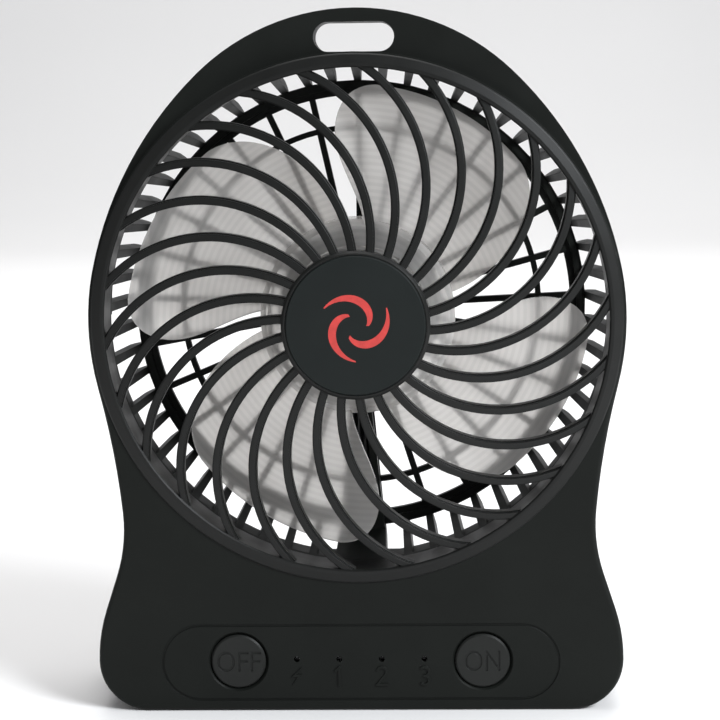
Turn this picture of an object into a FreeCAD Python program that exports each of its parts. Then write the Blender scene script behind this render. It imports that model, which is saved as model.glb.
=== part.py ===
import FreeCAD, Part
import math
import os

# A rechargeable desk fan that stands on its own base.
# Millimetres. +Z is up, the fan blows towards -Y, and the origin is on the
# ground below the middle of the object.

# ---- driving dimensions: the whole object ----
total_height = 142.6
half_width = 54.0           # at the height of the fan's axis
axis_z = 80.3
front_y = -19.4             # face of the badge, the foremost point
back_y = 19.4               # back of the rear lattice
ring_y = -14.5              # foremost edge of the grille's rim
panel_y = -13.5             # face of the front cover
parting_y = -3.5            # the two covers meet here
wall = 1.8

# ---- outline of the covers, seen from the front ----
base_half_width = 53.8
base_corner_r = 10.5
base_side_r = 33.8
waist_half_width = 48.0
waist_z = 38.8
waist_r = 33.0
flank_join_deg = 14.0       # where the ring's outline runs into the flank, below the axis
shoulder_join_deg = 11.5    # where it runs into the shoulder, above the axis
shoulder_flatter = 20.3     # the shoulder's radius is this much more than the ring's
edge_round = 1.0

# ---- handle ----
handle_front_slope = 0.082
handle_back_y = 6.0
handle_back_slope = 0.074
slot_length = 16.1
slot_height = 5.9
slot_z = 136.9

# ---- front grille ----
opening_r = 50.5
rim_r = 53.3
skirt_r = 51.6
skirt_back_y = -4.2
seat_r = 51.9
bar_count = 26
bar_arc_r = 28.6
bar_arc_centre_r = 30.9
bar_arc_centre_deg = 62.4
bar_ridge_width = 1.15
bar_body_width = 1.75
bar_ridge_depth = 0.8
bar_depth = 3.0
dome_rim_y = -14.1
dome_hub_y = -18.5
hub_r = 14.8
badge_r = 13.9
lug_count = 3
lug_deg = 9.0
twist_deg = 12.0

# ---- rear cover ----
cage_front_inner_r = 51.2
cage_back_inner_r = 48.0
cage_back_outer_r = 50.6
lattice_y = 17.3
lattice_ring_inner_r = 45.1
thin_ring_r = 38.3
thin_ring_width = 1.2
spoke_pitch_deg = 12.5
spoke_pairs = 14
spoke_width = 1.3
fin_pitch_deg = 6.25
fin_pairs = 28
slot_width = 3.75
slot_front_y = -1.9
slot_back_y = 17.0
slot_rear_inner_r = 48.2    # the slots run round the rear corner to this radius
housing_back_y = 9.5
housing_top_z = 65.0
base_box_z = 26.5
base_back_y = 18.6
boss_disc_r = 17.5

# ---- motor ----
cup_outer_r = 14.6
cup_inner_r = 12.4
cup_front_y = 1.0
cup_plate = 1.5
can_r = 12.2
can_back_y = 15.4
shaft_r = 1.0

# ---- impeller ----
blade_count = 4
blade_tip_r = 47.3
impeller_hub_r = 20.0
hub_front_y = -4.5
hub_back_y = 7.5
hub_wall = 1.5
blade_thickness = 1.25
blade_front_y = -6.0
blade_back_y = 8.6

# ---- control panel ----
panel_z = 10.3
panel_length = 81.6
panel_height = 16.1
panel_groove = 0.5
button_x = 25.0
button_z = 10.5
button_r = 5.6
button_hole_r = 5.8
button_bevel_r = 6.3
light_pitch = 8.72
light_z = 10.9
light_hole_r = 0.6
mark_z = 7.4
mark_size = 3.7
mark_height = 0.3
letter_pen = 0.45

# ---- electronics and battery ----
board_front_y = -7.7
board_thickness = 1.2
board_half_length = 42.0
board_low_z = 3.0
board_high_z = 16.5
switch_front_gap = 0.5      # how far a button can be pressed
socket_mouth_x = 50.6
socket_length = 6.0
socket_z = 19.4
socket_half = 3.9
socket_front_y = -6.7
socket_back_y = -3.9
cell_r = 9.2
cell_length = 65.0
cell_y = 7.4
cell_z = 12.6
door_half_length = 33.7
door_low_z = 4.3
door_high_z = 22.3

Y_AXIS = FreeCAD.Vector(0, 1, 0)
ORIGIN = FreeCAD.Vector(0, 0, 0)


# ---------------------------------------------------------------- helpers
def vec(x, y, z):
    return FreeCAD.Vector(x, y, z)


def box(x0, x1, y0, y1, z0, z1):
    return Part.makeBox(x1 - x0, y1 - y0, z1 - z0, vec(x0, y0, z0))


def rod(radius, y0, y1, x=0.0, z=0.0):
    """A round bar along Y."""
    return Part.makeCylinder(radius, y1 - y0, vec(x, y0, z), Y_AXIS)


def tube(outer, inner, y0, y1, x=0.0, z=0.0):
    return rod(outer, y0, y1, x, z).cut(rod(inner, y0 - 1, y1 + 1, x, z))


def cone(r0, r1, y0, y1, x=0.0, z=0.0):
    return Part.makeCone(r0, r1, y1 - y0, vec(x, y0, z), Y_AXIS)


def turned(points):
    """Turn a closed (radius, y) profile about the Y axis."""
    corners = [vec(r, y, 0) for r, y in points]
    face = Part.Face(Part.makePolygon(corners + corners[:1]))
    return face.revolve(ORIGIN, Y_AXIS, 360)


def spun(shape, degrees):
    """A copy turned about the fan axis, anticlockwise as seen from the front."""
    copy = shape.copy()
    copy.rotate(ORIGIN, vec(0, -1, 0), degrees)
    return copy


def moved(shape, x=0.0, y=0.0, z=0.0):
    copy = shape.copy()
    copy.translate(vec(x, y, z))
    return copy


def polar(radius, degrees, y=0.0):
    angle = math.radians(degrees)
    return vec(radius * math.cos(angle), y, radius * math.sin(angle))


def prism(wire, y0, y1):
    """Extrude a wire that lies in the plane y = 0."""
    solid = Part.Face(wire).extrude(vec(0, y1 - y0, 0))
    return moved(solid, y=y0)


def sector(outer, inner, mid_deg, span_deg, y0, y1):
    """An annular block about the fan axis."""
    a0 = mid_deg - span_deg / 2
    a1 = mid_deg + span_deg / 2
    edges = [
        Part.Arc(polar(outer, a0), polar(outer, mid_deg), polar(outer, a1)).toShape(),
        Part.LineSegment(polar(outer, a1), polar(inner, a1)).toShape(),
        Part.Arc(polar(inner, a1), polar(inner, mid_deg), polar(inner, a0)).toShape(),
        Part.LineSegment(polar(inner, a0), polar(outer, a0)).toShape(),
    ]
    return prism(Part.Wire(edges), y0, y1)


def stadium(length, height, y0, y1, x=0.0, z=0.0):
    """A slot shape with full-round ends along X."""
    r = height / 2
    half = length / 2 - r
    edges = [
        Part.LineSegment(vec(-half, 0, -r), vec(half, 0, -r)).toShape(),
        Part.Arc(vec(half, 0, -r), vec(half + r, 0, 0), vec(half, 0, r)).toShape(),
        Part.LineSegment(vec(half, 0, r), vec(-half, 0, r)).toShape(),
        Part.Arc(vec(-half, 0, r), vec(-half - r, 0, 0), vec(-half, 0, -r)).toShape(),
    ]
    return moved(prism(Part.Wire(edges), y0, y1), x=x, z=z)


def stroke(x0, z0, x1, z1, width, y0, y1):
    """A straight pen stroke with square ends, for raised or sunk marks."""
    length = math.hypot(x1 - x0, z1 - z0)
    bar = box(-width / 2, length + width / 2, y0, y1, -width / 2, width / 2)
    bar.rotate(ORIGIN, vec(0, -1, 0), math.degrees(math.atan2(z1 - z0, x1 - x0)))
    return moved(bar, x=x0, z=z0)


def arc_stroke(cx, cz, radius, mid_deg, span_deg, width, y0, y1):
    ring = sector(radius + width / 2, radius - width / 2, mid_deg, span_deg, y0, y1)
    return moved(ring, x=cx, z=cz)


def loop_stroke(cx, cz, width_x, width_z, width, y0, y1):
    """An upright rounded letter O."""
    r = width_x / 2
    rise = (width_z - width_x) / 2
    outer = box(-r, r, y0, y1, -rise, rise)
    outer = outer.fuse([rod(r, y0, y1, z=rise), rod(r, y0, y1, z=-rise)])
    q = r - width
    inner = box(-q, q, y0 - 1, y1 + 1, -rise, rise)
    inner = inner.fuse([rod(q, y0 - 1, y1 + 1, z=rise), rod(q, y0 - 1, y1 + 1, z=-rise)])
    return moved(outer.cut(inner), x=cx, z=cz)


def wire_run(points, radius, bend):
    """An insulated wire: straight runs joined by tangent arcs."""
    edges = []
    last = points[0]
    for before, here, after in zip(points, points[1:], points[2:]):
        arriving = here.sub(before).normalize()
        leaving = after.sub(here).normalize()
        turn = arriving.getAngle(leaving)
        reach = bend * math.tan(turn / 2)
        start = here.sub(arriving * reach)
        end = here.add(leaving * reach)
        inward = leaving.sub(arriving).normalize()
        rise = bend / math.cos(turn / 2) - bend
        edges.append(Part.LineSegment(last, start).toShape())
        edges.append(Part.Arc(start, here.add(inward * rise), end).toShape())
        last = end
    edges.append(Part.LineSegment(last, points[-1]).toShape())
    path = Part.Wire(edges)
    along = points[1].sub(points[0])
    section = Part.Wire([Part.Circle(points[0], along, radius).toShape()])
    return path.makePipeShell([section], True, True)


def joined(shapes):
    solid = shapes[0].fuse(shapes[1:])
    return solid.removeSplitter()


def fan_part(shape):
    """Fan parts are drawn about the origin and lifted to the fan's axis."""
    return moved(shape, z=axis_z)


def save(name, shape):
    shape.exportStep(os.path.join("parts", name + ".step"))
    print(name, "solids", len(shape.Solids), "valid", shape.isValid(), "volume", round(shape.Volume, 1))


# ------------------------------------------------- the outline of the covers
def arc_edge(centre, radius, start_deg, end_deg, side):
    cx, cz = centre
    points = []
    for degrees in (start_deg, (start_deg + end_deg) / 2, end_deg):
        angle = math.radians(degrees)
        points.append(vec(side * (cx + radius * math.cos(angle)), 0, cz + radius * math.sin(angle)))
    return Part.Arc(points[0], points[1], points[2]).toShape()


def outline(inset=0.0):
    """The outline of the covers as tangent arcs, moved inwards by inset."""
    corner = (base_half_width - base_corner_r, base_corner_r)
    side = (base_half_width - base_side_r, base_corner_r)
    waist = (waist_half_width + waist_r, waist_z)
    across = waist[0] - side[0]
    up = waist[1] - side[1]
    gap = math.hypot(across, up)
    lean = math.degrees(math.atan2(up, across) - math.acos((base_side_r + waist_r) / gap))

    # the flank touches the ring from outside and the waist's arc from inside
    fall = waist_z - axis_z
    aim = math.radians(-flank_join_deg)
    along = waist[0] * math.cos(aim) + fall * math.sin(aim)
    reach = waist[0] ** 2 + fall ** 2
    flank_r = (waist_r ** 2 - half_width ** 2 + 2 * half_width * along - reach) / (
        2 * (half_width - along + waist_r))
    flank = ((half_width + flank_r) * math.cos(aim), axis_z + (half_width + flank_r) * math.sin(aim))
    flank_deg = math.degrees(math.atan2(waist[1] - flank[1], waist[0] - flank[0])) % 360

    # the shoulder and the handle's top arc
    tilt = math.radians(shoulder_join_deg)
    shoulder = (-shoulder_flatter * math.cos(tilt), axis_z - shoulder_flatter * math.sin(tilt))
    crown = total_height - axis_z
    excess = half_width + shoulder_flatter - crown
    top = (shoulder_flatter ** 2 - excess ** 2) / (2 * (excess - shoulder_flatter * math.sin(tilt)))
    top_z = axis_z + top
    shoulder_deg = math.degrees(math.atan2(top_z - shoulder[1], -shoulder[0]))
    edges = []
    for sign in (1, -1):
        side_edges = [
            arc_edge(corner, base_corner_r - inset, -90, 0, sign),
            arc_edge(side, base_side_r - inset, 0, lean, sign),
            arc_edge(waist, waist_r + inset, 180 + lean, flank_deg, sign),
            arc_edge(flank, flank_r + inset, flank_deg, 180 - flank_join_deg, sign),
            arc_edge((0, axis_z), half_width - inset, -flank_join_deg, shoulder_join_deg, sign),
            arc_edge(shoulder, half_width + shoulder_flatter - inset, shoulder_join_deg, shoulder_deg, sign),
            arc_edge((0, top_z), total_height - top_z - inset, shoulder_deg, 90, sign),
        ]
        low = vec(sign * (side[0] + (base_side_r - inset) * math.cos(math.radians(lean))), 0,
                  side[1] + (base_side_r - inset) * math.sin(math.radians(lean)))
        high = vec(sign * (waist[0] - (waist_r + inset) * math.cos(math.radians(lean))), 0,
                   waist[1] - (waist_r + inset) * math.sin(math.radians(lean)))
        side_edges.append(Part.LineSegment(low, high).toShape())
        edges += side_edges
    foot = vec(corner[0], 0, inset)
    edges.append(Part.LineSegment(vec(-foot.x, 0, inset), foot).toShape())
    return Part.Wire(Part.__sortEdges__(edges))


def rounded_prism(inset, y0, y1, round_at, radius):
    """The outline as a block, with the edge at y = round_at rounded."""
    block = prism(outline(inset), y0, y1)
    edges = [e for e in block.Edges if abs(e.BoundBox.YMin - round_at) < 1e-6
             and abs(e.BoundBox.YMax - round_at) < 1e-6]
    return block.makeFillet(radius, edges)


def slope_tool(y_at_axis, slope, far_y):
    """Everything beyond a face that leans back with height."""
    top = total_height + 20
    corners = [vec(-80, y_at_axis, axis_z), vec(-80, y_at_axis + slope * (top - axis_z), top),
               vec(-80, far_y, top), vec(-80, far_y, axis_z)]
    face = Part.Face(Part.makePolygon(corners + corners[:1]))
    return face.extrude(vec(160, 0, 0))


screw_spots = [(45.0, 8.5), (44.0, 38.0), (25.0, 131.5)]
screw_places = [(sign * x, z) for x, z in screw_spots for sign in (1, -1)]
lug_angles = [90 + 360 / lug_count * k for k in range(lug_count)]


# ---------------------------------------------------------------- front cover
def front_cover():
    body = rounded_prism(0.0, panel_y, parting_y, panel_y, edge_round)
    lean_back = slope_tool(panel_y + 0.4, handle_front_slope, panel_y - 10)
    body = body.cut(lean_back.cut(rod(rim_r + 0.3, -40, 40, z=axis_z)))
    cavity = prism(outline(wall), panel_y + wall, parting_y + 1)
    cavity = cavity.common(box(-80, 80, -40, 40, 0, axis_z))
    cavity = cavity.cut(rod(half_width, -40, 40, z=axis_z))
    body = body.cut(cavity)
    body = body.cut(rod(seat_r, -40, 40, z=axis_z))
    body = body.cut(stadium(slot_length, slot_height, -40, 40, z=slot_z))

    bosses = []
    for x, z in screw_places[:4]:
        bosses.append(rod(2.5, panel_y + wall - 0.2, parting_y, x, z))
    body = body.fuse(bosses)
    cutters = [rod(0.75, screw_tip_y(index) - 0.2, parting_y + 1, x, z)
               for index, (x, z) in enumerate(screw_places)]

    # bayonet track for the grille's lugs: an entry from the front and a turn
    for angle in lug_angles:
        entry = sector(skirt_r + 1.25, seat_r - 1, angle - twist_deg, lug_deg + 1, panel_y - 1, -9.8)
        track_middle = angle - twist_deg / 2
        track = sector(skirt_r + 1.25, seat_r - 1, track_middle, lug_deg + twist_deg + 1, -12.1, -9.8)
        cutters += [fan_part(entry), fan_part(track)]

    for sign in (-1, 1):
        cutters.append(rod(button_hole_r, panel_y - 1, panel_y + wall + 1, sign * button_x, button_z))
        cutters.append(cone(button_bevel_r, button_hole_r, panel_y - 0.05, panel_y + 0.5,
                            sign * button_x, button_z))
    for k in range(4):
        x = light_pitch * (k - 1.5)
        cutters.append(rod(light_hole_r, panel_y - 1, panel_y + wall + 1, x, light_z))
    frame = stadium(panel_length, panel_height, panel_y - 1, panel_y + 0.25, z=panel_z)
    inner = stadium(panel_length - 2 * panel_groove, panel_height - 2 * panel_groove,
                    panel_y - 2, panel_y + 2, z=panel_z)
    frame = frame.cut(inner)
    cutters.append(frame)
    cutters.append(box(socket_mouth_x - 2.5, half_width, socket_front_y - 0.2, parting_y + 1,
                       socket_z - socket_half - 0.3, socket_z + socket_half + 0.3))
    return body.cut(cutters)


def panel_marks():
    """Raised charge sign and the numerals 1, 2 and 3 below the lights."""
    y0 = panel_y - mark_height
    y1 = panel_y + 0.1
    pen = 0.5
    xs = [light_pitch * (k - 1.5) for k in range(4)]
    z = mark_z
    h = mark_size / 2
    bolt = [(0.5, 1.0), (-0.62, -0.08), (0.05, -0.08), (-0.5, -1.0), (0.62, 0.2), (-0.05, 0.2)]
    corners = [vec(xs[0] + x * h, 0, z + dz * h) for x, dz in bolt]
    sign = prism(Part.makePolygon(corners + corners[:1]), y0, y1)
    one = stroke(xs[1], z - h, xs[1], z + h, pen, y0, y1)
    one = one.fuse(stroke(xs[1] - 0.4 * h, z + 0.62 * h, xs[1], z + h, pen, y0, y1))
    r = 0.52 * h
    two = arc_stroke(xs[2], z + h - r, r, 65, 210, pen, y0, y1)
    tail = polar(r, -40)
    two = two.fuse([stroke(xs[2] + tail.x, z + h - r + tail.z, xs[2] - r, z - h, pen, y0, y1),
                    stroke(xs[2] - r, z - h, xs[2] + r, z - h, pen, y0, y1)])
    three = arc_stroke(xs[3], z + 0.5 * h, 0.5 * h, 20, 250, pen, y0, y1)
    three = three.fuse(arc_stroke(xs[3], z - 0.5 * h, 0.5 * h, -20, 250, pen, y0, y1))
    return [sign, one, two, three]


# ---------------------------------------------------------------- front grille
def dome_layer(front_depth, back_depth):
    """The part of the domed grille between two depths behind its front."""
    rise = dome_rim_y - dome_hub_y
    middle = (opening_r ** 2 - hub_r ** 2 - rise ** 2) / (2 * rise)
    sphere_r = math.hypot(opening_r, middle)
    centre_y = dome_rim_y + middle
    front = Part.makeSphere(sphere_r, vec(0, centre_y + front_depth, 0), Y_AXIS)
    back = Part.makeSphere(sphere_r, vec(0, centre_y + back_depth, 0), Y_AXIS)
    layer = tube(opening_r + 0.5, hub_r - 0.4, -30, 0).common(front).cut(back)
    return spun(layer, 200)


def bar_strip(width):
    """One spiral bar seen from the front: an arc from the hub to the rim."""
    cx = bar_arc_centre_r * math.cos(math.radians(bar_arc_centre_deg))
    cz = bar_arc_centre_r * math.sin(math.radians(bar_arc_centre_deg))

    def reach(r):
        squares = bar_arc_centre_r ** 2 + bar_arc_r ** 2 - r ** 2
        return math.degrees(math.acos(squares / (2 * bar_arc_centre_r * bar_arc_r)))

    start = bar_arc_centre_deg + 180 + reach(hub_r - 2.5)
    end = bar_arc_centre_deg + 180 + reach(opening_r + 3.0)
    strip = sector(bar_arc_r + width / 2, bar_arc_r - width / 2, (start + end) / 2, end - start, -30, 0)
    return moved(strip, x=cx, z=cz)


def front_grille():
    rim = turned([(opening_r, ring_y + 0.3), (opening_r + 0.3, ring_y), (opening_r + 0.9, ring_y),
                  (rim_r - 0.3, ring_y + 0.5), (rim_r, ring_y + 0.75), (rim_r, panel_y),
                  (skirt_r, panel_y), (skirt_r, skirt_back_y), (skirt_r - 0.8, skirt_back_y)])
    ridge = bar_strip(bar_ridge_width).common(dome_layer(0.0, bar_ridge_depth + 0.1))
    body = bar_strip(bar_body_width).common(dome_layer(bar_ridge_depth, bar_depth))
    bar = ridge.fuse(body)
    bars = [spun(bar, 360 / bar_count * k) for k in range(bar_count)]
    hub_face_y = front_y + 0.2
    hub_back_face_y = dome_hub_y + bar_depth + 0.2
    hub = turned([(0, hub_face_y + 0.9), (badge_r + 0.1, hub_face_y + 0.9), (badge_r + 0.1, hub_face_y),
                  (hub_r - 0.5, hub_face_y), (hub_r, hub_face_y + 0.5), (hub_r, hub_back_face_y),
                  (0, hub_back_face_y)])
    lugs = [sector(skirt_r + 1.0, skirt_r - 0.5, angle, lug_deg, -11.9, -10.1) for angle in lug_angles]
    return fan_part(rim.fuse(bars + [hub] + lugs))


def grille_badge():
    y0 = front_y
    y1 = front_y + 1.1
    disc = turned([(0, y0), (badge_r - 0.25, y0), (badge_r, y0 + 0.25), (badge_r, y1), (0, y1)])
    return fan_part(disc)


# ---------------------------------------------------------------- rear cover
def rear_cage():
    wall_ring = turned([(cage_front_inner_r, parting_y), (half_width, parting_y),
                        (cage_back_outer_r, lattice_y), (cage_back_outer_r - 0.9, back_y - 0.6),
                        (cage_back_outer_r - 1.6, back_y), (lattice_ring_inner_r, back_y),
                        (lattice_ring_inner_r, lattice_y + 0.7),
                        (lattice_ring_inner_r + 1.4, lattice_y + 0.7),
                        (lattice_ring_inner_r + 1.4, lattice_y), (cage_back_inner_r, lattice_y)])
    slots = []
    for k in range(fin_pairs):
        cutter = box(44, 60, slot_front_y, slot_back_y, -slot_width / 2, slot_width / 2)
        cutter = cutter.fuse(box(slot_rear_inner_r, 60, slot_front_y, back_y + 1,
                                 -slot_width / 2, slot_width / 2))
        for sign in (1, -1):
            slots.append(spun(cutter, 90 + sign * fin_pitch_deg * (k + 0.5)))
    return wall_ring.cut(slots)


def rear_lattice():
    thin_half = thin_ring_width / 2
    thin = tube(thin_ring_r + thin_half, thin_ring_r - thin_half, lattice_y + 0.7, back_y)
    pieces = [thin]
    spoke = box(boss_disc_r - 1, lattice_ring_inner_r + 0.6, lattice_y + 0.5, back_y,
                -spoke_width / 2, spoke_width / 2)
    pieces.append(spun(spoke, 90))
    for k in range(1, spoke_pairs + 1):
        pieces.append(spun(spoke, 90 + spoke_pitch_deg * k))
        pieces.append(spun(spoke, 90 - spoke_pitch_deg * k))
    pieces.append(tube(boss_disc_r, cup_inner_r, lattice_y, back_y))
    return pieces


def lead_duct():
    """The closed segment below the motor, with a trough for the motor leads."""
    block = sector(cage_back_inner_r + 0.6, cup_outer_r - 0.6, 270, spoke_pitch_deg - 1.0, 13.9, back_y)
    trough = box(-1.6, 1.6, 12, back_y - 1.7, -cage_back_inner_r + 1.5, -cup_inner_r + 1)
    return block, trough


def rear_cover():
    housing = rounded_prism(0.0, parting_y, housing_back_y, housing_back_y, 2.0)
    housing = housing.common(box(-80, 80, -40, 40, 0, housing_top_z))
    base = rounded_prism(0.0, parting_y, base_back_y, base_back_y, 3.0)
    base = base.common(box(-80, 80, -40, 40, 0, base_box_z))
    handle = prism(outline(), parting_y, handle_back_y)
    handle = handle.common(box(-80, 80, -40, 40, axis_z, 200))
    handle = handle.cut(slope_tool(handle_back_y, -handle_back_slope, handle_back_y + 40))
    handle = handle.cut(rod(52.0, -40, 40, z=axis_z))
    shell = housing.fuse(base)
    shell = shell.cut(rod(52.3, -40, 40, z=axis_z))

    cavity = prism(outline(wall), parting_y - 1, housing_back_y - wall)
    cavity = cavity.common(box(-80, 80, -40, 40, 0, housing_top_z - 2 * wall))
    low_cavity = prism(outline(wall), parting_y - 1, base_back_y - wall)
    low_cavity = low_cavity.common(box(-80, 80, -40, 40, 0, base_box_z - wall))
    cavity = cavity.fuse(low_cavity)
    cavity = cavity.cut(rod(half_width + 0.1, -40, 40, z=axis_z))
    shell = shell.cut(cavity)

    cage = [fan_part(rear_cage())] + [fan_part(piece) for piece in rear_lattice()]
    duct, trough = lead_duct()
    cup = tube(cup_outer_r, cup_inner_r, cup_front_y, back_y)
    plate = rod(cup_outer_r, cup_front_y, cup_front_y + cup_plate)
    cage += [fan_part(duct), fan_part(cup), fan_part(plate)]
    ribs = []
    for sign in (1, -1):
        x = sign * (cell_length / 2 + 3.2)
        ribs.append(box(x - 0.6, x + 0.6, 0.5, base_back_y - 0.5, 1.0, base_box_z - 1))
    bosses = [rod(2.5, parting_y, housing_back_y - 0.5, x, z) for x, z in screw_places[2:4]]
    bosses += [rod(2.5, parting_y, base_back_y - 0.5, x, z) for x, z in screw_places[:2]]
    body = shell.fuse([handle] + cage + ribs + bosses)

    cutters = [fan_part(trough)]
    cutters.append(fan_part(rod(3.2, -5, 5)))
    cutters.append(fan_part(rod(cup_outer_r - 1.2, base_back_y, 40)))
    for sign in (1, -1):
        cutters.append(fan_part(rod(1.1, -5, 5, x=8.0 * sign)))
    cutters.append(box(-1.6, 1.6, 13.9, base_back_y - 0.7, base_box_z - 6, axis_z - cage_back_inner_r + 2))
    cutters.append(box(-door_half_length - 0.3, door_half_length + 0.3, base_back_y - wall - 1, 40,
                       door_low_z - 0.3, door_high_z + 0.3))
    cutters.append(stadium(slot_length, slot_height, -40, 40, z=slot_z))
    for index, (x, z) in enumerate(screw_places):
        head_y = screw_head_y(index)
        cutters.append(rod(1.1, -40, 40, x, z))
        cutters.append(rod(2.1, head_y, 40, x, z))
    return body.cut(cutters)


def screw_tip_y(index):
    """How far each case screw reaches into the front cover. The handle is thinner."""
    return (parting_y - 5.0, parting_y - 5.0, parting_y - 3.2)[index // 2]


def screw_head_y(index):
    """Where the underside of each case screw's head sits."""
    return (base_back_y - 6.0, housing_back_y - 2.2, -0.5)[index // 2]


def case_screws():
    screws = []
    for index, (x, z) in enumerate(screw_places):
        head_y = screw_head_y(index)
        shank = rod(0.75, screw_tip_y(index), head_y, x, z)
        neck = rod(1.0, parting_y + 0.5, head_y, x, z)
        head = rod(1.9, head_y, head_y + 1.3, x, z)
        recess = box(x - 1.1, x + 1.1, head_y + 0.6, head_y + 2, z - 0.25, z + 0.25)
        recess = recess.fuse(box(x - 0.25, x + 0.25, head_y + 0.6, head_y + 2, z - 1.1, z + 1.1))
        screws.append(shank.fuse([neck, head]).cut(recess))
    return Part.makeCompound(screws)


# ---------------------------------------------------------------- impeller
def blade_blank(mid_deg):
    """A helical sheet, lofted through radial sections, wider than the blade."""
    sections = []
    first_deg = 2.0
    last_deg = 104.0
    steps = 9
    for k in range(steps):
        share = k / (steps - 1)
        degrees = first_deg + (last_deg - first_deg) * share
        travel = (degrees - 15.0) / (96.0 - 15.0)
        y = blade_back_y + (blade_front_y - blade_back_y) * travel
        y += 1.5 * math.sin(math.pi * max(0.0, min(1.0, travel)))
        corners = [polar(impeller_hub_r - 1, degrees, y - blade_thickness / 2),
                   polar(blade_tip_r + 3, degrees, y - blade_thickness / 2),
                   polar(blade_tip_r + 3, degrees, y + blade_thickness / 2),
                   polar(impeller_hub_r - 1, degrees, y + blade_thickness / 2)]
        sections.append(Part.makePolygon(corners + corners[:1]))
    return spun(Part.makeLoft(sections, True, False), mid_deg)


def blade_plan():
    """One blade seen from the front, as a closed outline."""
    tip_start = polar(blade_tip_r, 85.0)
    tip_end = polar(blade_tip_r - 1.5, 42.5)
    trailing = Part.BSplineCurve()
    trailing.interpolate([polar(18.5, 85.0), polar(22.5, 88.0), polar(28.4, 93.0), polar(39.0, 95.9),
                          polar(43.8, 93.2), tip_start])
    tip = Part.Arc(tip_start, polar(blade_tip_r - 0.7, 63.0), tip_end)
    leading = Part.BSplineCurve()
    outer_edge = [tip_end, polar(44.3, 36.6), polar(41.0, 30.3)]
    leading.interpolate(outer_edge + [polar(31.5, 19.6), polar(18.5, 10.0)])
    inner = Part.LineSegment(polar(18.5, 10.0), polar(18.5, 85.0))
    return Part.Wire([trailing.toShape(), tip.toShape(), leading.toShape(), inner.toShape()])


def impeller():
    blade = blade_blank(0).common(prism(blade_plan(), -15, 15))
    blades = [spun(blade, 90 * k) for k in range(blade_count)]
    inner_r = impeller_hub_r - hub_wall
    hub = turned([(0, hub_front_y), (9, hub_front_y), (9.3, hub_front_y + 0.3), (14.5, hub_front_y + 0.3),
                  (14.8, hub_front_y), (impeller_hub_r - 1.2, hub_front_y),
                  (impeller_hub_r, hub_front_y + 1.2), (impeller_hub_r, hub_back_y),
                  (inner_r, hub_back_y), (inner_r, hub_front_y + hub_wall), (3.4, hub_front_y + hub_wall),
                  (3.2, 0.4), (shaft_r, 0.4), (shaft_r, hub_front_y + 2.0), (0, hub_front_y + 2.0)])
    clear = rod(inner_r - 0.01, hub_front_y + hub_wall + 0.01, 12).cut(rod(3.5, -20, 20))
    blades = [piece.cut(clear) for piece in blades]
    return fan_part(hub.fuse(blades))


# ---------------------------------------------------------------- motor
def motor_can():
    face_y = cup_front_y + cup_plate
    shell = turned([(2.6, face_y - 1.3), (3.1, face_y - 1.3), (3.1, face_y), (can_r, face_y),
                    (can_r, can_back_y), (can_r - 0.8, can_back_y), (can_r - 0.8, face_y + 0.8),
                    (2.6, face_y + 0.8)])
    holes = [rod(0.95, 0, face_y + 2, x=8.0 * sign) for sign in (1, -1)]
    return fan_part(shell.cut(holes))


def motor_magnets():
    arcs = [sector(can_r - 0.8, 9.9, mid, 132, 4.4, 13.6) for mid in (0, 180)]
    return fan_part(Part.makeCompound(arcs))


def motor_end_cap():
    cap = turned([(2.5, 14.2), (can_r - 0.8, 14.2), (can_r - 0.8, can_back_y + 0.5), (4.0, can_back_y + 0.5),
                  (4.0, can_back_y + 0.9), (2.5, can_back_y + 0.9)])
    slots = [box(-1.2, 1.2, 10, 20, sign * 8.0 - 0.3, sign * 8.0 + 0.3) for sign in (1, -1)]
    return fan_part(cap.cut(slots))


def motor_terminals():
    tabs = [box(-1.2, 1.2, 13.4, 16.8, sign * 8.0 - 0.3, sign * 8.0 + 0.3) for sign in (1, -1)]
    return fan_part(Part.makeCompound(tabs))


def bush(y0, y1, outer):
    return fan_part(tube(outer, shaft_r + 0.03, y0, y1))


def motor_shaft():
    return fan_part(turned([(0, hub_front_y + 2.0), (shaft_r - 0.15, hub_front_y + 2.0),
                            (shaft_r, hub_front_y + 2.2), (shaft_r, 15.9), (0, 15.9)]))


def motor_core():
    """Three-pole iron core pressed on the shaft."""
    pieces = [rod(3.4, 5.2, 12.0)]
    for k in range(3):
        arm = box(3.0, 8.6, 5.2, 12.0, -1.3, 1.3)
        pieces.append(spun(arm, 90 + 120 * k))
        pieces.append(sector(9.4, 8.2, 90 + 120 * k, 96, 5.2, 12.0))
    return fan_part(joined(pieces).cut(rod(shaft_r, 0, 20)))


def motor_windings():
    coils = []
    for k in range(3):
        coil = box(3.9, 7.8, 4.4, 12.8, -3.1, 3.1).cut(box(3.0, 9.0, 5.2, 12.0, -1.3, 1.3))
        coil = coil.common(sector(8.1, 3.5, 0, 110, 4.0, 13.0))
        coils.append(spun(coil, 90 + 120 * k))
    return fan_part(Part.makeCompound(coils))


def motor_commutator():
    barrel = tube(2.3, shaft_r, 12.1, 14.0)
    gaps = [spun(box(1.7, 3.0, 11, 15, -0.12, 0.12), 30 + 120 * k) for k in range(3)]
    return fan_part(barrel.cut(gaps))


def motor_brushes():
    strips = [box(sign * 2.5 - 0.1, sign * 2.5 + 0.1, 13.0, 14.2, -1.0, 6.0) for sign in (1, -1)]
    return fan_part(Part.makeCompound(strips))


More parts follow.
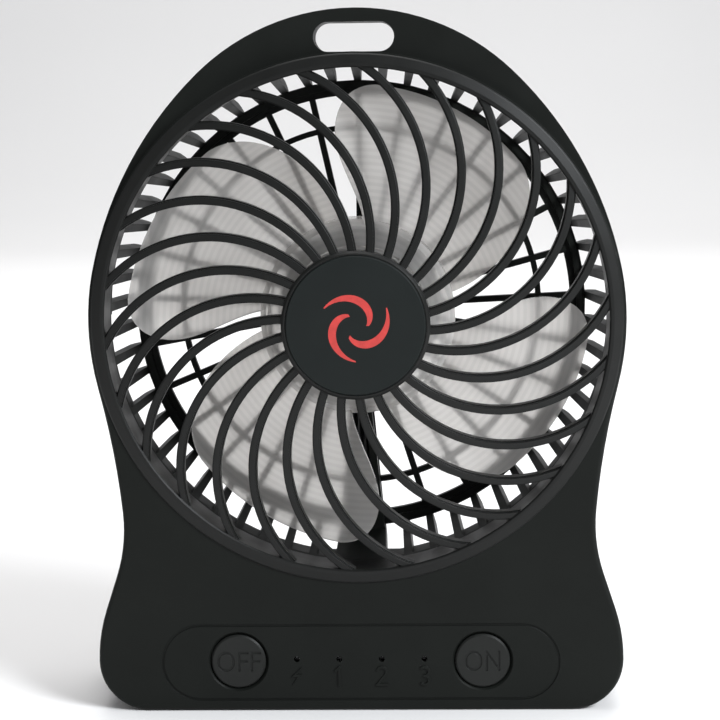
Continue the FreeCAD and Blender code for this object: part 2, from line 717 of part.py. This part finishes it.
def motor_screws():
    screws = []
    for sign in (1, -1):
        x = 8.0 * sign
        shank = rod(0.95, cup_front_y, cup_front_y + cup_plate + 0.8, x=x)
        head = rod(1.8, cup_front_y - 1.1, cup_front_y, x=x)
        recess = box(x - 1.0, x + 1.0, -2, cup_front_y - 0.6, -0.22, 0.22)
        recess = recess.fuse(box(x - 0.22, x + 0.22, -2, cup_front_y - 0.6, -1.0, 1.0))
        screws.append(fan_part(shank.fuse(head).cut(recess)))
    return Part.makeCompound(screws)


def motor_cover():
    disc = turned([(0, base_back_y), (cup_outer_r - 1.3, base_back_y), (cup_outer_r - 1.3, back_y - 0.3),
                   (cup_outer_r - 1.6, back_y), (0, back_y)])
    plug = tube(cup_inner_r - 0.05, 10.9, 17.0, base_back_y)
    notch = box(-1.9, 1.9, 16, base_back_y, -15, -8)
    return fan_part(disc.fuse(plug.cut(notch)))


# ---------------------------------------------------------------- controls
def button(sign, letters):
    x = sign * button_x
    face_y = panel_y - 0.1
    cap = turned([(0, face_y), (button_r - 0.35, face_y), (button_r, face_y + 0.35),
                  (button_r, panel_y + wall + 0.1), (button_r + 1.1, panel_y + wall + 0.1),
                  (button_r + 1.1, panel_y + wall + 0.6), (0, panel_y + wall + 0.6)])
    cap = moved(cap, x=x, z=button_z)
    return cap.cut(letters(x, button_z, face_y - 1, face_y + 0.22))


def letter_f(x, z, y0, y1):
    h = mark_size / 2
    return [stroke(x, z - h, x, z + h, letter_pen, y0, y1),
            stroke(x, z + h, x + 1.7, z + h, letter_pen, y0, y1),
            stroke(x, z + 0.1, x + 1.5, z + 0.1, letter_pen, y0, y1)]


def word_off(x, z, y0, y1):
    ring = [loop_stroke(x - 2.6, z, 3.5, mark_size + letter_pen, letter_pen, y0, y1)]
    return ring + letter_f(x + 0.1, z, y0, y1) + letter_f(x + 2.7, z, y0, y1)


def word_on(x, z, y0, y1):
    h = mark_size / 2
    return [loop_stroke(x - 1.9, z, 3.5, mark_size + letter_pen, letter_pen, y0, y1),
            stroke(x + 0.8, z - h, x + 0.8, z + h, letter_pen, y0, y1),
            stroke(x + 3.3, z - h, x + 3.3, z + h, letter_pen, y0, y1),
            stroke(x + 0.8, z + h, x + 3.3, z - h, letter_pen, y0, y1)]


def switch_plunger(sign):
    return rod(1.7, panel_y + wall + 0.6, board_front_y - 0.6, sign * button_x, button_z)


def switch_housings():
    front = panel_y + wall + 0.6 + switch_front_gap
    housings = []
    for sign in (-1, 1):
        x = sign * button_x
        block = box(x - 3, x + 3, front, board_front_y, button_z - 3, button_z + 3)
        housings.append(block.cut(rod(1.75, front - 1, board_front_y - 0.6 + switch_front_gap, x, button_z)))
    return Part.makeCompound(housings)


def control_board():
    back = board_front_y + board_thickness
    board = box(-board_half_length, board_half_length, board_front_y, back, board_low_z, board_high_z)
    tab = box(board_half_length - 6, socket_mouth_x - 2.0, board_front_y, back - 0.2,
              socket_z - socket_half, socket_z + socket_half)
    rise = box(board_half_length - 6, board_half_length, board_front_y, back, board_high_z - 1,
               socket_z + socket_half)
    board = joined([board, rise, tab])
    holes = [rod(1.2, board_front_y - 1, board_front_y + 3, x, 5.0) for x in (-36, 36)]
    return board.cut(holes)


def indicator_lights():
    lights = []
    for k in range(4):
        x = light_pitch * (k - 1.5)
        flange = rod(1.75, board_front_y - 0.9, board_front_y, x, light_z)
        lens = rod(1.5, board_front_y - 2.4, board_front_y - 0.9, x, light_z)
        dome = Part.makeSphere(1.5, vec(x, board_front_y - 2.4, light_z))
        lights.append(joined([flange, lens, dome]))
    return Part.makeCompound(lights)


def board_chips():
    back = board_front_y + board_thickness
    chips = [box(-14, -9, back, back + 1.5, 7, 11), box(-2, 3, back, back + 1.5, 6.5, 10.5),
             box(10, 12.4, back, back + 1.0, 8, 11)]
    return Part.makeCompound(chips)


def boost_coil():
    back = board_front_y + board_thickness
    x = 22.0
    z = 9.0
    bobbin = rod(3.0, back, back + 0.6, x, z).fuse([rod(1.5, back, back + 2.6, x, z),
                                                     rod(3.0, back + 2.0, back + 2.6, x, z)])
    return bobbin.fuse(tube(2.7, 1.5, back + 0.6, back + 2.0, x, z))


def charge_socket():
    x0 = socket_mouth_x - socket_length
    low = socket_z - socket_half
    high = socket_z + socket_half
    shell = box(x0, socket_mouth_x, socket_front_y, socket_back_y, low, high)
    shell = shell.cut(box(x0 + 0.8, half_width, socket_front_y + 0.35, socket_back_y - 0.35,
                          low + 0.4, high - 0.4))
    tongue = box(x0 + 0.6, socket_mouth_x - 0.8, socket_front_y + 1.1, socket_front_y + 1.65,
                 low + 1.4, high - 1.4)
    return shell.fuse(tongue)


def board_leads():
    """Motor leads: from the terminals, down the duct, over the cell to the board."""
    leads = []
    for sign in (1, -1):
        x = 0.75 * sign
        points = [vec(x, 16.75, axis_z - 8.6), vec(x, 16.2, axis_z - 14.0), vec(x, 16.0, axis_z - 40.0),
                  vec(x, 15.6, 23.4), vec(x, -4.6, 23.4), vec(x * 2, -5.9, 15.0)]
        leads.append(wire_run(points, 0.5, 1.2))
    return Part.makeCompound(leads)


# ---------------------------------------------------------------- battery
def battery_cell():
    half = cell_length / 2
    profile = [(0, -half), (cell_r - 0.4, -half), (cell_r, -half + 0.4), (cell_r, half - 1.6),
               (cell_r - 0.5, half - 1.1), (3.0, half - 1.1), (3.0, half), (0, half)]
    solid = turned(profile)
    solid.rotate(ORIGIN, vec(0, 0, 1), -90)
    return moved(solid, y=cell_y, z=cell_z)


def contact(sign):
    """A bent spring strip at one end of the cell."""
    near = cell_length / 2
    outer = near + 2.5
    strip = box(outer - 0.35, outer, cell_y - 4.5, cell_y + 4.5, cell_z - 6.5, cell_z + 6.5)
    leaf = box(near, near + 0.35, cell_y - 2.2, cell_y + 2.2, cell_z - 3.5, cell_z + 4.0)
    bridge = box(near, outer, cell_y - 2.2, cell_y + 2.2, cell_z + 3.65, cell_z + 4.0)
    tail = box(outer - 0.35, outer, -1.5, cell_y - 4.5, cell_z - 1.5, cell_z + 1.5)
    shape = joined([strip, leaf, bridge, tail])
    if sign < 0:
        shape = shape.mirror(ORIGIN, vec(1, 0, 0))
    return shape


def contact_leads():
    leads = []
    for sign in (1, -1):
        points = [vec(sign * 34.8, -1.5, cell_z), vec(sign * 34.8, -3.0, cell_z),
                  vec(sign * 33.0, -4.9, cell_z),
                  vec(sign * 33.0, board_front_y + board_thickness, cell_z)]
        leads.append(wire_run(points, 0.5, 0.8))
    return Part.makeCompound(leads)


def battery_door():
    half = door_half_length
    plate = box(-half, half, base_back_y - 1.2, base_back_y, door_low_z, door_high_z)
    grip = [box(-4 + 2.0 * k - 0.4, -4 + 2.0 * k + 0.4, base_back_y - 0.4, base_back_y + 1,
                door_high_z - 5.5, door_high_z - 1.5) for k in range(5)]
    return plate.cut(grip)


# ---------------------------------------------------------------- write the parts
def main():
    os.makedirs("parts", exist_ok=True)
    save("front_cover", front_cover().fuse(panel_marks()))
    save("rear_cover", rear_cover())
    save("front_grille", front_grille())
    save("grille_badge", grille_badge())
    save("impeller", impeller())
    save("motor_shaft", motor_shaft())
    save("motor_core", motor_core())
    save("motor_windings", motor_windings())
    save("motor_commutator", motor_commutator())
    save("motor_can", motor_can())
    save("motor_magnets", motor_magnets())
    save("motor_end_cap", motor_end_cap())
    save("motor_terminals", motor_terminals())
    save("motor_brushes", motor_brushes())
    save("motor_front_bush", bush(1.3, 3.2, 2.6))
    save("motor_rear_bush", bush(14.2, 16.1, 2.5))
    save("motor_screws", motor_screws())
    save("motor_cover", motor_cover())
    save("motor_leads", board_leads())
    save("button_off", button(-1, word_off))
    save("button_on", button(1, word_on))
    save("switch_plunger_off", switch_plunger(-1))
    save("switch_plunger_on", switch_plunger(1))
    save("switch_housings", switch_housings())
    save("control_board", control_board())
    save("indicator_lights", indicator_lights())
    save("board_chips", board_chips())
    save("boost_coil", boost_coil())
    save("charge_socket", charge_socket())
    save("battery_cell", battery_cell())
    save("battery_contact_positive", contact(1))
    save("battery_contact_negative", contact(-1))
    save("battery_leads", contact_leads())
    save("battery_door", battery_door())
    save("case_screws", case_screws())


main()
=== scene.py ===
import math

import bmesh
import bpy
from mathutils import Matrix, Vector


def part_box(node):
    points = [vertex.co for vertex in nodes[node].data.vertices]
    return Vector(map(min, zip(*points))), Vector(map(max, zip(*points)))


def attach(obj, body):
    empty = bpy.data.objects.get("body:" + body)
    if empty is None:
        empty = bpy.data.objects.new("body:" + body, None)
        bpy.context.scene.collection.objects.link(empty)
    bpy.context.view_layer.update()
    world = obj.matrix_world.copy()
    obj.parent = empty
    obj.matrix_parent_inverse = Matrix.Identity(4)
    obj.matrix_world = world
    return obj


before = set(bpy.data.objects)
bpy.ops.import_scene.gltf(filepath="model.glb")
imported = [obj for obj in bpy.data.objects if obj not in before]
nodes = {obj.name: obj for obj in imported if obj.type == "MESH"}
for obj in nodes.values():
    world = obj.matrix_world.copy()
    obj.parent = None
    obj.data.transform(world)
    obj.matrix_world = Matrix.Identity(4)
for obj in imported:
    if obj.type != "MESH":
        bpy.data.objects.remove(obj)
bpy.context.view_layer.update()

AXIS_Z = 0.0803                  # height of the fan's axis
BADGE_RED = (0.47, 0.035, 0.03, 1.0)
PRINT_STANDS = 0.000012          # how far the printed sign stands off the badge
PRINT_SINKS = 0.00005            # and how far it is set in
EDGE_SOFTEN = 0.00018            # radius that softens the moulded edges

SIGN_ARCS = 3
SIGN_STEPS = 32
SIGN_SWEEP_DEG = 150
SIGN_START_R = 0.0024
SIGN_GROWTH = 0.0047             # how much further out each arc ends
SIGN_HALF_WIDTH = 0.00075
SIGN_TIP_WIDTH = 0.00008

FLOOR_HALF_WIDTH = 3.0
FLOOR_NEAR_Y = -2.5
FLOOR_BEND_Y = 1.2
FLOOR_BEND_R = 0.9
FLOOR_BEND_STEPS = 24
BACKDROP_TOP = 3.5

CAMERA_PLACE = (0.01226, -0.40044, 0.12566)
CAMERA_LENS = 97.47


# ------------------------------------------------------------------ materials
def new_material(name):
    material = bpy.data.materials.new(name)
    material.use_nodes = True
    shader = material.node_tree.nodes["Principled BSDF"]
    return material, material.node_tree, shader


def node(tree, kind, **values):
    made = tree.nodes.new(kind)
    for key, value in values.items():
        if hasattr(made, key):
            setattr(made, key, value)
        else:
            made.inputs[key].default_value = value
    return made


def noise(tree, scale, detail=3.0, rough=0.55, stretch=None):
    """Noise in the piece's own metres."""
    coords = node(tree, "ShaderNodeTexCoord")
    source = coords.outputs["Object"]
    if stretch:
        mapping = node(tree, "ShaderNodeMapping")
        mapping.inputs["Scale"].default_value = stretch
        tree.links.new(source, mapping.inputs["Vector"])
        source = mapping.outputs["Vector"]
    made = node(tree, "ShaderNodeTexNoise", Scale=scale, Detail=detail, Roughness=rough)
    tree.links.new(source, made.inputs["Vector"])
    return made.outputs["Fac"]


def ramp(tree, source, low, high, start=0.3, end=0.7):
    made = node(tree, "ShaderNodeValToRGB")
    made.color_ramp.elements[0].position = start
    made.color_ramp.elements[1].position = end
    made.color_ramp.elements[0].color = low
    made.color_ramp.elements[1].color = high
    tree.links.new(source, made.inputs["Fac"])
    return made.outputs["Color"]


def spread(tree, source, low, high):
    made = node(tree, "ShaderNodeMapRange")
    made.inputs["To Min"].default_value = low
    made.inputs["To Max"].default_value = high
    made.inputs["From Min"].default_value = 0.3
    made.inputs["From Max"].default_value = 0.7
    tree.links.new(source, made.inputs["Value"])
    return made.outputs["Result"]


def bump(tree, shader, source, distance, soften=0.0):
    made = node(tree, "ShaderNodeBump", Strength=1.0, Distance=distance)
    tree.links.new(source, made.inputs["Height"])
    if soften:
        edge = node(tree, "ShaderNodeBevel", samples=4, Radius=soften)
        tree.links.new(edge.outputs["Normal"], made.inputs["Normal"])
    tree.links.new(made.outputs["Normal"], shader.inputs["Normal"])


def shade(color, factor):
    return tuple(min(1.0, c * factor) for c in color[:3]) + (1.0,)


def moulded(name, color, rough, grain=5200.0, depth=0.000012,
             specular=0.5, soften=EDGE_SOFTEN):
    """Moulded plastic with a fine spark-eroded grain and a slightly uneven tone."""
    material, tree, shader = new_material(name)
    broad = noise(tree, 55.0, 4.0)
    fine = noise(tree, grain, 2.0)
    color_out = ramp(tree, broad, shade(color, 0.88), shade(color, 1.14))
    tree.links.new(color_out, shader.inputs["Base Color"])
    uneven = spread(tree, noise(tree, 140.0, 5.0), rough - 0.05, rough + 0.06)
    tree.links.new(uneven, shader.inputs["Roughness"])
    shader.inputs["Specular IOR Level"].default_value = specular
    bump(tree, shader, fine, depth, soften)
    return material


def frosted(name, low, high, turned=False):
    """Milky translucent polypropylene. A turned piece has faint rings round the fan's axis."""
    material, tree, shader = new_material(name)
    color_out = ramp(tree, noise(tree, 70.0, 4.0), low, high)
    if turned:
        coords = node(tree, "ShaderNodeTexCoord")
        centred = node(tree, "ShaderNodeMapping")
        centred.inputs["Location"].default_value = (0.0, 0.0, -AXIS_Z)
        tree.links.new(coords.outputs["Object"], centred.inputs["Vector"])
        rings = node(tree, "ShaderNodeTexWave", wave_type="RINGS", rings_direction="Y", Scale=230.0)
        tree.links.new(centred.outputs["Vector"], rings.inputs["Vector"])
        mixed = node(tree, "ShaderNodeMix", data_type="RGBA", blend_type="MULTIPLY")
        mixed.inputs[0].default_value = 1.0
        tree.links.new(color_out, mixed.inputs[6])
        ring_tone = ramp(tree, rings.outputs["Fac"], (0.93, 0.935, 0.94, 1.0), (1.0, 1.0, 1.0, 1.0))
        tree.links.new(ring_tone, mixed.inputs[7])
        color_out = mixed.outputs[2]
    tree.links.new(color_out, shader.inputs["Base Color"])
    tree.links.new(spread(tree, noise(tree, 160.0, 4.0), 0.17, 0.27), shader.inputs["Roughness"])
    shader.inputs["Transmission Weight"].default_value = 0.6
    shader.inputs["IOR"].default_value = 1.32
    shader.inputs["Specular IOR Level"].default_value = 0.6
    return material


def metal(name, color, rough, stretch=(1.0, 1.0, 1.0), grain=2600.0):
    material, tree, shader = new_material(name)
    streaks = noise(tree, grain, 3.0, stretch=stretch)
    color_out = ramp(tree, streaks, shade(color, 0.84), shade(color, 1.08))
    tree.links.new(color_out, shader.inputs["Base Color"])
    tree.links.new(spread(tree, streaks, rough - 0.06, rough + 0.08), shader.inputs["Roughness"])
    shader.inputs["Metallic"].default_value = 1.0
    bump(tree, shader, streaks, 0.000006)
    return material


def wound_copper(name):
    """Enamelled wire laid in turns."""
    material, tree, shader = new_material(name)
    coords = node(tree, "ShaderNodeTexCoord")
    turns = node(tree, "ShaderNodeTexWave", wave_type="BANDS", bands_direction="Y", Scale=800.0)
    tree.links.new(coords.outputs["Object"], turns.inputs["Vector"])
    color_out = ramp(tree, turns.outputs["Fac"], (0.30, 0.09, 0.03, 1.0), (0.78, 0.33, 0.14, 1.0))
    tree.links.new(color_out, shader.inputs["Base Color"])
    shader.inputs["Metallic"].default_value = 0.8
    shader.inputs["Roughness"].default_value = 0.32
    bump(tree, shader, turns.outputs["Fac"], 0.00008)
    return material


def circuit_board(name):
    """Green solder mask with a ghost of the copper tracks below it."""
    material, tree, shader = new_material(name)
    coords = node(tree, "ShaderNodeTexCoord")
    tracks = node(tree, "ShaderNodeTexBrick", Scale=420.0)
    tracks.inputs["Color1"].default_value = (0.012, 0.085, 0.04, 1.0)
    tracks.inputs["Color2"].default_value = (0.016, 0.11, 0.05, 1.0)
    tracks.inputs["Mortar"].default_value = (0.035, 0.19, 0.08, 1.0)
    swap = node(tree, "ShaderNodeMapping")
    swap.inputs["Rotation"].default_value = (math.pi / 2, 0.0, 0.0)
    tree.links.new(coords.outputs["Object"], swap.inputs["Vector"])
    tree.links.new(swap.outputs["Vector"], tracks.inputs["Vector"])
    tree.links.new(tracks.outputs["Color"], shader.inputs["Base Color"])
    shader.inputs["Roughness"].default_value = 0.34
    bump(tree, shader, tracks.outputs["Fac"], 0.00002)
    return material


case_black = moulded("case_black", (0.0060, 0.0070, 0.0060), 0.46, specular=0.13)
grille_black = moulded("grille_black", (0.0060, 0.0063, 0.0058), 0.38, grain=4200.0,
                       specular=0.24)
badge_black = moulded("badge_black", (0.0075, 0.0098, 0.0094), 0.50, grain=6500.0,
                      specular=0.16, soften=0.0)
button_black = moulded("button_black", (0.0100, 0.0108, 0.0098), 0.44, specular=0.22)
switch_black = moulded("switch_black", (0.035, 0.035, 0.037), 0.5)
chip_black = moulded("chip_black", (0.02, 0.02, 0.022), 0.6)
end_white = moulded("end_white", (0.72, 0.70, 0.64), 0.45)
wire_black = moulded("wire_black", (0.012, 0.012, 0.013), 0.4, grain=900.0)
cell_blue = moulded("cell_blue", (0.035, 0.16, 0.42), 0.3, grain=700.0)
ferrite = moulded("ferrite", (0.06, 0.06, 0.065), 0.62, grain=3000.0)
blade_frost = frosted("blade_frost", (0.84, 0.815, 0.785, 1.0), (0.94, 0.915, 0.885, 1.0),
                      turned=True)
steel = metal("steel", (0.56, 0.57, 0.58), 0.34, stretch=(1.0, 0.1, 1.0))
nickel = metal("nickel", (0.72, 0.71, 0.67), 0.22, stretch=(1.0, 1.0, 0.1))
brass = metal("brass", (0.72, 0.52, 0.22), 0.30)
copper = wound_copper("copper")
board_green = circuit_board("board_green")
lens_clear = frosted("lens_clear", (0.80, 0.80, 0.80, 1.0), (0.90, 0.90, 0.90, 1.0))

LOOKS = {
    case_black: ["front_cover", "rear_cover", "motor_cover", "battery_door"],
    grille_black: ["front_grille"],
    badge_black: ["grille_badge"],
    button_black: ["button_off", "button_on"],
    blade_frost: ["impeller"],
    steel: ["motor_shaft", "motor_core", "motor_can", "motor_screws", "charge_socket", "case_screws"],
    nickel: ["battery_contact_positive", "battery_contact_negative"],
    brass: ["motor_terminals", "motor_brushes", "motor_front_bush", "motor_rear_bush"],
    copper: ["motor_windings", "motor_commutator", "boost_coil"],
    ferrite: ["motor_magnets"],
    end_white: ["motor_end_cap"],
    switch_black: ["switch_plunger_off", "switch_plunger_on", "switch_housings"],
    board_green: ["control_board"],
    chip_black: ["board_chips"],
    lens_clear: ["indicator_lights"],
    wire_black: ["motor_leads", "battery_leads"],
    cell_blue: ["battery_cell"],
}
for material, names in LOOKS.items():
    for name in names:
        mesh = nodes[name].data
        mesh.materials.clear()
        mesh.materials.append(material)


# --------------------------------------------------- a plain sign on the badge
def badge_sign():
    """Three printed arcs that sweep outwards: a plain sign for moving air."""
    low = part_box("grille_badge")[0]
    face_y = low.y - PRINT_STANDS
    back_y = low.y + PRINT_SINKS
    mesh = bmesh.new()

    def stroke(points):
        rings = []
        for x, z, half, normal_x, normal_z in points:
            corners = ((-half, back_y), (-half, face_y), (half, face_y), (half, back_y))
            rings.append([mesh.verts.new((x + out * normal_x, y, AXIS_Z + z + out * normal_z))
                          for out, y in corners])
        for a, b in zip(rings, rings[1:]):
            for k in range(4):
                mesh.faces.new((a[k], a[(k + 1) % 4], b[(k + 1) % 4], b[k]))
        mesh.faces.new(rings[0][::-1])
        mesh.faces.new(rings[-1])

    for turn in range(SIGN_ARCS):
        points = []
        for step in range(SIGN_STEPS + 1):
            share = step / SIGN_STEPS
            angle = math.radians(360 / SIGN_ARCS * turn + SIGN_SWEEP_DEG * share)
            radius = SIGN_START_R + SIGN_GROWTH * share
            taper = math.sin(math.pi * (0.08 + 0.9 * share))
            half = SIGN_HALF_WIDTH * taper + SIGN_TIP_WIDTH
            points.append((radius * math.cos(angle), radius * math.sin(angle), half,
                           math.cos(angle), math.sin(angle)))
        stroke(points)
    bmesh.ops.recalc_face_normals(mesh, faces=mesh.faces)
    data = bpy.data.meshes.new("badge_sign")
    mesh.to_mesh(data)
    mesh.free()
    sign = bpy.data.objects.new("badge_sign", data)
    bpy.context.scene.collection.objects.link(sign)
    material, tree, shader = new_material("print_red")
    ink = ramp(tree, noise(tree, 900.0, 3.0), shade(BADGE_RED, 0.86), shade(BADGE_RED, 1.1))
    tree.links.new(ink, shader.inputs["Base Color"])
    shader.inputs["Roughness"].default_value = 0.42
    bump(tree, shader, noise(tree, 5200.0, 2.0), 0.00001)
    data.materials.append(material)
    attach(sign, "grille")


badge_sign()


# ------------------------------------------------------------- stage and lights
def floor_sweep():
    """A pale floor that curves up into a backdrop."""
    profile = [(FLOOR_NEAR_Y, 0.0)]
    for step in range(FLOOR_BEND_STEPS + 1):
        angle = math.radians(90 * step / FLOOR_BEND_STEPS)
        profile.append((FLOOR_BEND_Y + FLOOR_BEND_R * math.sin(angle),
                        FLOOR_BEND_R - FLOOR_BEND_R * math.cos(angle)))
    profile.append((FLOOR_BEND_Y + FLOOR_BEND_R, BACKDROP_TOP))
    mesh = bmesh.new()
    sides = (-FLOOR_HALF_WIDTH, FLOOR_HALF_WIDTH)
    rows = [[mesh.verts.new((x, y, z)) for x in sides] for y, z in profile]
    for a, b in zip(rows, rows[1:]):
        face = mesh.faces.new((a[0], a[1], b[1], b[0]))
        face.smooth = True
    data = bpy.data.meshes.new("floor")
    mesh.to_mesh(data)
    mesh.free()
    floor = bpy.data.objects.new("floor", data)
    bpy.context.scene.collection.objects.link(floor)
    material, tree, shader = new_material("floor_pale")
    pale = ramp(tree, noise(tree, 3.0, 2.0), (0.80, 0.79, 0.785, 1.0), (0.82, 0.81, 0.805, 1.0))
    tree.links.new(pale, shader.inputs["Base Color"])
    shader.inputs["Roughness"].default_value = 0.85
    data.materials.append(material)


def lamp(name, place, size, watts, color=(1.0, 1.0, 1.0), aim=(0.0, 0.0, 0.075)):
    data = bpy.data.lights.new(name, "AREA")
    data.shape = "DISK"
    data.size = size
    data.energy = watts
    data.color = color
    light = bpy.data.objects.new(name, data)
    light.location = place
    light.rotation_euler = (Vector(aim) - Vector(place)).to_track_quat("-Z", "Y").to_euler()
    bpy.context.scene.collection.objects.link(light)


floor_sweep()
lamp("key", (0.72, -0.60, 0.66), 0.45, 17.0, (0.93, 0.965, 1.0))
lamp("fill", (-0.95, -0.75, 0.55), 0.9, 0.5, (1.0, 0.98, 0.95))
lamp("top", (0.05, 0.25, 1.3), 1.0, 11.0)
lamp("back", (0.0, 0.75, 0.9), 0.9, 6.0, aim=(0.0, 1.4, 0.0))

world = bpy.data.worlds.new("studio")
world.use_nodes = True
world.node_tree.nodes["Background"].inputs["Color"].default_value = (0.95, 0.97, 1.0, 1.0)
world.node_tree.nodes["Background"].inputs["Strength"].default_value = 0.34
bpy.context.scene.world = world
bpy.context.scene.view_settings.view_transform = "Standard"

# ---------------------------------------------------------------------- camera
YAW = math.radians(-1.717)
PITCH = math.radians(7.784)
ROLL = math.radians(-0.708)
forward = Vector((math.sin(YAW) * math.cos(PITCH),
                  math.cos(YAW) * math.cos(PITCH),
                  -math.sin(PITCH)))
level = Vector((math.cos(YAW), -math.sin(YAW), 0.0))
upright = level.cross(forward)
right = math.cos(ROLL) * level + math.sin(ROLL) * upright
up = -math.sin(ROLL) * level + math.cos(ROLL) * upright
camera_data = bpy.data.cameras.new("camera")
camera_data.lens = CAMERA_LENS
camera_data.sensor_width = 36.0
camera_data.clip_start = 0.01
camera = bpy.data.objects.new("camera", camera_data)
bpy.context.scene.collection.objects.link(camera)
turn = Matrix((right, up, -forward)).transposed().to_4x4()
camera.matrix_world = Matrix.Translation(CAMERA_PLACE) @ turn
bpy.context.scene.camera = camera
